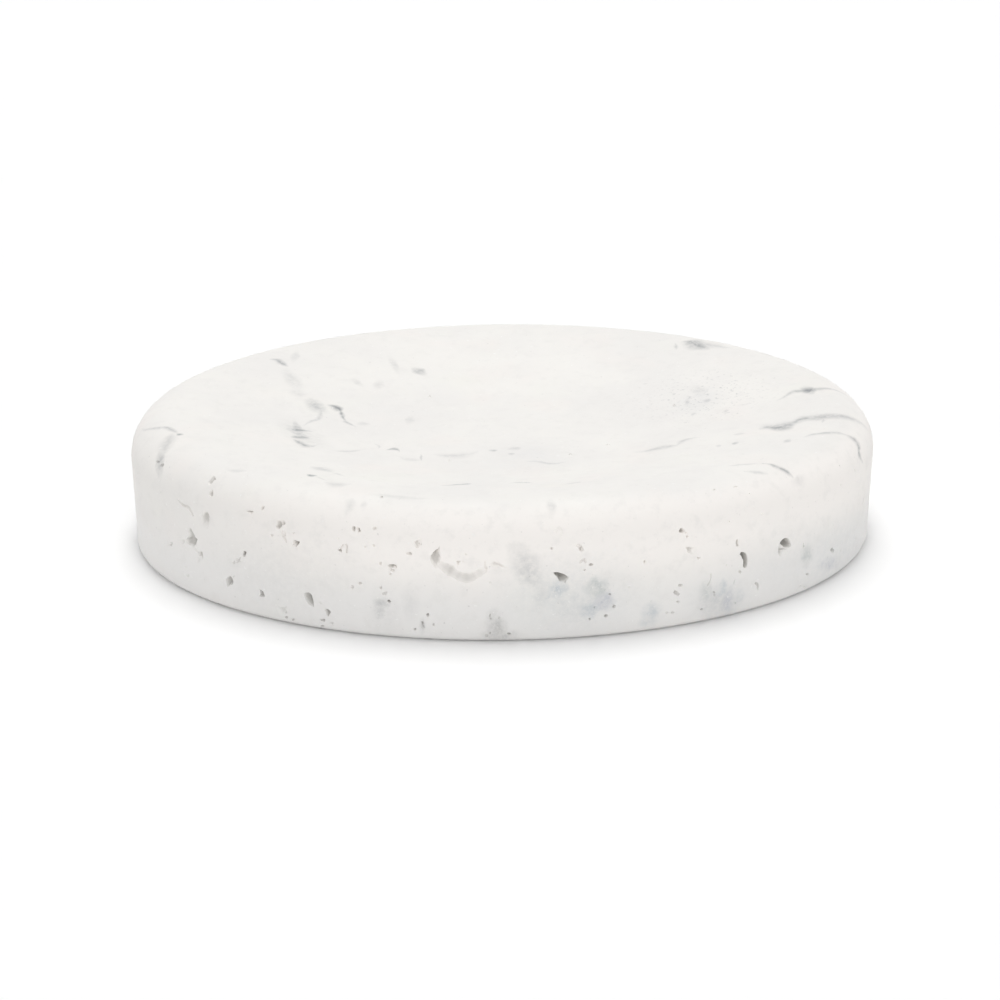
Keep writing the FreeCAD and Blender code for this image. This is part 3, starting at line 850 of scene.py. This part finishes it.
class Nodes:
    """Adds and links the nodes of one material or world."""

    def __init__(self, owner):
        owner.use_nodes = True
        self.tree = owner.node_tree
        self.tree.nodes.clear()

    def add(self, kind, inputs=None, **settings):
        made = self.tree.nodes.new(kind)
        for name, value in settings.items():
            setattr(made, name, value)
        for key, value in (inputs or {}).items():
            if isinstance(value, bpy.types.NodeSocket):
                self.tree.links.new(value, made.inputs[key])
            else:
                made.inputs[key].default_value = value
        return made

    def place(self):
        return self.add("ShaderNodeTexCoord").outputs["Object"]

    def attribute(self, name):
        return self.add("ShaderNodeAttribute", attribute_name=name).outputs["Fac"]

    def math(self, operation, first, second=0.0, clamp=False):
        made = self.add("ShaderNodeMath", {0: first, 1: second}, operation=operation, use_clamp=clamp)
        return made.outputs[0]

    def vector(self, operation, first, second=(0, 0, 0)):
        made = self.add("ShaderNodeVectorMath", {0: first, 1: second}, operation=operation)
        return made.outputs["Value" if operation in ("DOT_PRODUCT", "LENGTH") else "Vector"]

    def noise(self, place, scale, detail, roughness, output="Fac"):
        inputs = {"Vector": place, "Scale": scale, "Detail": detail, "Roughness": roughness}
        return self.add("ShaderNodeTexNoise", inputs).outputs[output]

    def span(self, value, low, high, to_low=0.0, to_high=1.0, smooth=True):
        inputs = {"Value": value, "From Min": low, "From Max": high, "To Min": to_low, "To Max": to_high}
        kind = "SMOOTHSTEP" if smooth else "LINEAR"
        return self.add("ShaderNodeMapRange", inputs, interpolation_type=kind, clamp=not smooth).outputs[0]

    def mix(self, factor, first, second):
        made = self.add("ShaderNodeMix", {0: factor, 6: first, 7: second}, data_type="RGBA")
        return made.outputs[2]

    def tint(self, colour, value, low, high, strength, tint):
        """Colour that turns to a tint as a value runs from low to high."""
        return self.mix(self.span(value, low, high, 0, strength), colour, screen_colour(*tint))

    def curve(self, value, points):
        made = self.add("ShaderNodeFloatCurve", {"Value": value})
        made.mapping.clip_min_y = -CURVE_LIMIT
        made.mapping.clip_max_y = CURVE_LIMIT
        line = made.mapping.curves[0].points
        line[0].location = points[0]
        line[1].location = points[-1]
        for point in points[1:-1]:
            line.new(*point)
        made.mapping.update()
        return made.outputs[0]

    def surface(self, colour, rough, height, strength, distance):
        """Ends a material in a plain surface with a fine bump."""
        inputs = {"Strength": strength, "Distance": distance, "Height": height}
        bump = self.add("ShaderNodeBump", inputs).outputs[0]
        inputs = {"Base Color": colour, "Roughness": rough, "Normal": bump}
        shader = self.add("ShaderNodeBsdfPrincipled", inputs).outputs[0]
        self.add("ShaderNodeOutputMaterial", {"Surface": shader})


def screen_colour(red, green, blue):
    """Linear colour with alpha from the 0 to 255 values of a screen."""
    def linear(level):
        share = level / 255
        return share / 12.92 if share <= 0.04045 else ((share + 0.055) / 1.055) ** 2.4
    return linear(red), linear(green), linear(blue), 1.0


# Stone

# Noises: waves per metre, detail and roughness. Tints: range of a value, strength at its end and colour
STONE_COLOUR = (237, 235, 232)
STONE_LAYERS = (
    ((45, 4, 0.6), (0.35, 0.65, 1.0, (241, 239, 235))),
    ((75, 2, 0.5), (0.5, 0.75, 0.5, (242, 237, 233))),
    ((58, 3, 0.5), (0.55, 0.78, 0.4, (238, 238, 230))),
)
# Paler, cooler stone low on the wall: partly the stone's tone, partly painted light that lifts the shade
# near the foot
FOOT_TINT_AND_LIGHT = (0.016, 0.004, 0.6, (240, 239, 238))
MOTTLE_NOISE = (420, 4, 0.65)
MOTTLE_TINT = (0.48, 0.72, 0.28, (228, 226, 223))
SPECK_NOISE = (1500, 2, 0.5)
SPECK_TINTS = (
    (0.7, 0.8, 0.3, (172, 172, 170)),
    (0.32, 0.24, 0.5, (252, 252, 250)),
)
DOT_RANGE = (0.58, 0.7)
DOT_COLOUR = (150, 152, 156)
# Painted shade in the hollows: the stone turns darker the deeper a point lies
HOLLOW_PAINTED_SHADE = (
    (0.15, 1.0, 0.46, (146, 143, 135)),
    (1.0, HOLLOW_MOST, 0.5, (96, 95, 90)),
)
ROUGHNESS_NOISE = (160, 3, 0.6)
STONE_ROUGHNESS = (0.3, 0.7, 0.48, 0.66)
BUMP_NOISE = (500, 2, 0.5)
GRAIN_NOISE = (2600, 3, 0.6)
GRAIN_SHARE = 0.4
STONE_BUMP = (0.25, 0.0001)

# Paler, warmer band on the outer slope of the rim, strongest in front: partly the stone's own tone, partly
# painted light on the side that faces the front lamp
LIT_RIM_BAND_REACH = (0.915, 0.985)
LIT_RIM_BAND_HEIGHTS = (0.006, 0.0165)
LIT_RIM_BAND_FACING = (0.35, -0.94, 0)
LIT_RIM_BAND_FRONT = (0.1, 0.9, 0.15, 0.95)
LIT_RIM_BAND_COLOUR = (254, 250, 246)

# Veins, which waver, fade and break up
WAVER_NOISE = (330, 3, 0.6)
VEIN_WARP = 0.0005
VEIN_FADE = 0.16
VEIN_SHOULDER = 0.55
VEIN_LEAST_REACH = 0.15
VEIN_EDGE = (1.5, -0.9)
BREAK_NOISE = (900, 3, 0.6)
VEIN_BREAK = (0.3, 0.6, 1.15, 2.2)
VEIN_HEIGHTS = (0.015, 0.0185)
VEIN_COLOUR = (128, 132, 136)

# Soft ragged clouds, and those strewn over the back
CLOUD_DEPTH = 0.004
CLOUD_EDGE = (1.9, 0.1)
RAGGED_NOISE = (900, 4, 0.7)
CLOUD_RAGGED = (0.3, 0.7, 0.55, 1.35)
BACK_CLOUD_SIZE = (0.0025, 0.0055)
BACK_CLOUD_SHAPE = (0.8, 1.6)
BACK_CLOUD_LEAN = (-30, 30)
BACK_CLOUD_STRENGTH = (0.3, 0.6)


def vein_mask(nodes, place, broken, width, darkness, darkest, *pixels):
    """Grey sheet that stands upright in the stone along a line of pixels on its top."""
    seats = [seat_of_pixel(*p)[0] for p in pixels]
    plan = [Vector((p.x, p.y)) for p in seats]
    chord = plan[-1] - plan[0]
    span = chord.length
    ahead = chord / span
    side = Vector((-ahead.y, ahead.x))
    middle = seats[len(seats) // 2]
    here = to_pixel(middle)
    drawn = to_pixel(middle + ahead.to_3d() * PROBE_STEP) - here
    across = to_pixel(middle + side.to_3d() * PROBE_STEP) - here
    pixels_across = abs(drawn.x * across.y - drawn.y * across.x) / drawn.length / PROBE_STEP
    half = width / 2 / pixels_across
    centre = [((p - plan[0]).dot(ahead) / span, (p - plan[0]).dot(side) / span) for p in plan]
    rise_end = VEIN_FADE * darkest * 2
    fall_start = 1 - VEIN_FADE * (1 - darkest) * 2
    strength = [(0, 0), (rise_end, VEIN_SHOULDER), (darkest, 1), (fall_start, VEIN_SHOULDER), (1, 0)]
    local = nodes.vector("SUBTRACT", place, plan[0].to_3d())
    along = nodes.vector("DOT_PRODUCT", local, (ahead / span).to_3d())
    beside = nodes.vector("DOT_PRODUCT", local, (side / span).to_3d())
    force = nodes.curve(along, strength)
    gap = nodes.math("ABSOLUTE", nodes.math("SUBTRACT", beside, nodes.curve(along, centre)))
    reach = nodes.math("MULTIPLY", nodes.math("ADD", force, VEIN_LEAST_REACH), half / span)
    near = nodes.span(nodes.math("DIVIDE", gap, reach), *VEIN_EDGE)
    shape = nodes.math("MULTIPLY", near, force)
    return nodes.math("MULTIPLY", shape, nodes.math("MULTIPLY", broken, darkness))


def vein_masks(nodes, place, height, bent):
    """Darkest vein at each place of the top."""
    broken = nodes.span(nodes.noise(place, *BREAK_NOISE), *VEIN_BREAK)
    veins = None
    for row in VEIN_PIXELS:
        mask = vein_mask(nodes, bent, broken, *row)
        veins = mask if veins is None else nodes.math("MAXIMUM", veins, mask)
    return nodes.math("MULTIPLY", veins, nodes.span(height, *VEIN_HEIGHTS), True)


def cloud_mask(nodes, place, seat, wide, tall, strength):
    """Soft egg of tinted stone about a point of the surface."""
    point, _, _, normal = seat
    across = wide.normalized()
    local = nodes.vector("SUBTRACT", place, point)
    shares = nodes.add("ShaderNodeCombineXYZ", {
        0: nodes.vector("DOT_PRODUCT", local, across / wide.length),
        1: nodes.vector("DOT_PRODUCT", local, normal.cross(across) / tall.length),
        2: nodes.vector("DOT_PRODUCT", local, normal / CLOUD_DEPTH),
    }).outputs[0]
    return nodes.span(nodes.vector("LENGTH", shares), *CLOUD_EDGE, 0, strength)


def pixel_cloud(x, y, width, height, strength, lean=0):
    """Seat, half axes and strength of a cloud that looks width by height pixels."""
    seat = seat_of_pixel(x, y)
    return seat, *mouth_vectors(*seat[:3], width, height, lean), strength


def cloud_masks(nodes, place):
    """Largest strength of each tint's clouds."""
    rng = random.Random(SEED + 1)
    rows = [(tint, *pixel_cloud(*row)) for tint, *row in CLOUDS]
    for i in range(BACK_CLOUD_COUNT):
        turn_share = between(BACK_TURN_SHARES, rng.random())
        seat = seat_on_wall(turn_share, between(PORE_HEIGHTS, rng.random()))
        size = rng.uniform(*BACK_CLOUD_SIZE)
        tall = size * rng.uniform(*BACK_CLOUD_SHAPE)
        half_axes = leaning(*seat[1:3], size, tall, rng.uniform(*BACK_CLOUD_LEAN))
        tint = list(CLOUD_TINTS)[i % len(CLOUD_TINTS)]
        rows.append((tint, seat, *half_axes, rng.uniform(*BACK_CLOUD_STRENGTH)))
    masks = {}
    for tint, *row in rows:
        mask = cloud_mask(nodes, place, *row)
        masks[tint] = nodes.math("MAXIMUM", masks[tint], mask) if tint in masks else mask
    return masks


def lit_rim_band(nodes, place, height):
    """Share of the paler band on the outer slope of the rim, strongest in front: partly the stone's tone,
    partly painted light.
    """
    oval = nodes.vector("MULTIPLY", place, (1 / DISH_HIGH.x, 1 / DISH_HIGH.y, 0))
    outer = nodes.span(nodes.vector("LENGTH", oval), *LIT_RIM_BAND_REACH)
    high = nodes.span(height, *LIT_RIM_BAND_HEIGHTS)
    front = nodes.span(nodes.vector("DOT_PRODUCT", oval, LIT_RIM_BAND_FACING), *LIT_RIM_BAND_FRONT)
    return nodes.math("MULTIPLY", nodes.math("MULTIPLY", outer, high), front)


def stone_material():
    material = bpy.data.materials.new("pale_stone")
    nodes = Nodes(material)
    place = nodes.place()
    height = nodes.vector("DOT_PRODUCT", place, (0, 0, 1))

    colour = screen_colour(*STONE_COLOUR)
    for waves, tint in STONE_LAYERS:
        colour = nodes.tint(colour, nodes.noise(place, *waves), *tint)
    # Paler towards the foot: partly tone, partly painted light
    colour = nodes.tint(colour, height, *FOOT_TINT_AND_LIGHT)
    # Paler band on the rim: partly the stone's tone, partly painted light
    colour = nodes.mix(lit_rim_band(nodes, place, height), colour, screen_colour(*LIT_RIM_BAND_COLOUR))

    bend = nodes.noise(place, *WAVER_NOISE, "Color")
    bend = nodes.vector("SUBTRACT", bend, (0.5, 0.5, 0.5))
    bend = nodes.vector("MULTIPLY", bend, (VEIN_WARP * 2, VEIN_WARP * 2, VEIN_WARP * 2))
    bent = nodes.vector("ADD", place, bend)
    wavy = nodes.vector("ADD", bent, bend)

    ragged = nodes.span(nodes.noise(place, *RAGGED_NOISE), *CLOUD_RAGGED)
    for tint, mask in cloud_masks(nodes, wavy).items():
        factor = nodes.math("MULTIPLY", mask, ragged, True)
        colour = nodes.mix(factor, colour, screen_colour(*CLOUD_TINTS[tint]))
    colour = nodes.mix(vein_masks(nodes, place, height, bent), colour, screen_colour(*VEIN_COLOUR))

    colour = nodes.tint(colour, nodes.noise(place, *MOTTLE_NOISE), *MOTTLE_TINT)
    specks = nodes.noise(place, *SPECK_NOISE)
    for tint in SPECK_TINTS:
        colour = nodes.tint(colour, specks, *tint)
    field = cloud_mask(nodes, place, *pixel_cloud(*SPECKLE_FIELD))
    dotted = nodes.math("MULTIPLY", field, nodes.span(specks, *DOT_RANGE))
    colour = nodes.mix(dotted, colour, screen_colour(*DOT_COLOUR))
    # Painted shade: darker stone the deeper a point lies in a hollow
    hollow = nodes.attribute("hollow")
    for tint in HOLLOW_PAINTED_SHADE:
        colour = nodes.tint(colour, hollow, *tint)

    grain = nodes.math("MULTIPLY", nodes.noise(place, *GRAIN_NOISE), GRAIN_SHARE)
    bump_height = nodes.math("ADD", grain, nodes.noise(place, *BUMP_NOISE))
    rough = nodes.span(nodes.noise(place, *ROUGHNESS_NOISE), *STONE_ROUGHNESS, False)
    nodes.surface(colour, rough, bump_height, *STONE_BUMP)
    return material


# Pads and adhesive

PAD_STEPS = {"bottom": 8, "lower edge": 6, "side": 3, "upper edge": 4, "top": 6}
PAD_TOP_RADIUS = PAD_EDGE_RADIUS / 2

# Finishes: name, colour, noise, tint and roughness by that noise, noise, strength and depth of the bump
PAD_FINISH = (
    "soft_pad", (203, 204, 205), (700, 3, 0.6), (0.3, 0.7, 1.0, (216, 217, 217)),
    (0.3, 0.7, 0.55, 0.72), (4200, 2, 0.5), (0.3, 0.00006),
)
FILM_FINISH = (
    "adhesive_film", (232, 231, 224), (1800, 3, 0.6), (0.35, 0.7, 1.0, (240, 239, 234)),
    (0.3, 0.7, 0.25, 0.45), (1800, 3, 0.6), (0.2, 0.00004),
)


def small_material(name, colour, waves, tint, roughness, bump_waves, bump):
    material = bpy.data.materials.new(name)
    nodes = Nodes(material)
    place = nodes.place()
    tone = nodes.noise(place, *waves)
    blend = nodes.tint(screen_colour(*colour), tone, *tint)
    rough = nodes.span(tone, *roughness, False)
    nodes.surface(blend, rough, nodes.noise(place, *bump_waves), *bump)
    return material


def make_pad(place, material):
    low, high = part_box(f"foot_pad_{place}")
    centre, radius = pad_circle(place)
    flat = radius - PAD_EDGE_RADIUS
    top_flat = radius - PAD_TOP_RADIUS
    side_low = low.z + PAD_EDGE_RADIUS
    side_high = high.z - PAD_TOP_RADIUS
    steps = PAD_STEPS
    profile = [
        *line_points((0, low.z), (flat, low.z), steps["bottom"]),
        *arc_points((flat, side_low), PAD_EDGE_RADIUS, -QUARTER, 0, steps["lower edge"]),
        *line_points((radius, side_low), (radius, side_high), steps["side"]),
        *arc_points((top_flat, side_high), PAD_TOP_RADIUS, 0, QUARTER, steps["upper edge"]),
        *line_points((top_flat, high.z), (0, high.z), steps["top"]),
        Vector((0, high.z)),
    ]
    piece = add_mesh(f"moulded_pad_{place}", *turned_body(profile, PAD_SEGMENTS, centre))
    shade(piece.data)
    piece.data.materials.append(material)
    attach(piece, "root")
    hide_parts(f"foot_pad_{place}")


# Floor and light

# The floor lies just under the pads and scatters light, which softens the foot of the shadow
WHITE = (1, 1, 1, 1)
FLOOR_HALF = 3
FLOOR_LEVEL = -0.00002
FLOOR_SCATTER = 0.006
SKY_LEVEL = 0.49

# Lamps: turn from the front, height, width of the light, and its level on a surface that faces it
LAMPS = {
    "overhead": (180, 73, 40, 0.404),
    "front": (0, 42, 44, 0.195),
}


def make_floor():
    far = FLOOR_HALF
    corners = ((-far, -far), (far, -far), (far, far), (-far, far))
    floor = add_mesh("floor", [(x, y, FLOOR_LEVEL) for x, y in corners], [(0, 1, 2, 3)])
    material = bpy.data.materials.new("pale_floor")
    nodes = Nodes(material)
    scatter = {"Color": WHITE, "Scale": FLOOR_SCATTER, "Radius": (1, 1, 1)}
    surface = nodes.add("ShaderNodeSubsurfaceScattering", scatter, falloff="BURLEY")
    nodes.add("ShaderNodeOutputMaterial", {"Surface": surface.outputs[0]})
    floor.data.materials.append(material)


def make_lamp(name, turn_deg, height_deg, width_deg, level):
    """Distant soft lamp whose level of 1 shows a white surface that faces it as white."""
    facing = towards(math.radians(turn_deg), math.radians(height_deg))
    data = bpy.data.lights.new(name, "SUN")
    data.energy = level * math.pi
    data.angle = math.radians(width_deg)
    lamp = bpy.data.objects.new(name, data)
    lamp.rotation_mode = "QUATERNION"
    lamp.rotation_quaternion = facing.to_track_quat("Z", "Y")
    bpy.context.scene.collection.objects.link(lamp)


def make_world():
    """Even soft light from all round; it looks plain white where it is seen directly."""
    world = bpy.data.worlds.new("studio")
    bpy.context.scene.world = world
    nodes = Nodes(world)
    path = nodes.add("ShaderNodeLightPath")
    seen = nodes.math("ADD", path.outputs["Is Camera Ray"], path.outputs["Is Glossy Ray"])
    seen = nodes.math("ADD", seen, path.outputs["Is Transmission Ray"], True)
    strength = nodes.add("ShaderNodeMix", {0: seen, 2: SKY_LEVEL, 3: 1.0}, data_type="FLOAT").outputs[0]
    sky = nodes.add("ShaderNodeBackground", {"Color": WHITE, "Strength": strength})
    nodes.add("ShaderNodeOutputWorld", {"Surface": sky.outputs[0]})


make_dish(stone_material())
pad_finish = small_material(*PAD_FINISH)
adhesive_finish = small_material(*FILM_FINISH)
for pad_place in PAD_PLACES:
    make_pad(pad_place, pad_finish)
    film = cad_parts[f"adhesive_disc_{pad_place}"].data
    film.materials.clear()
    film.materials.append(adhesive_finish)
make_floor()
make_world()
for lamp_name, lamp_row in LAMPS.items():
    make_lamp(lamp_name, *lamp_row)
bpy.context.scene.view_settings.view_transform = "Standard"
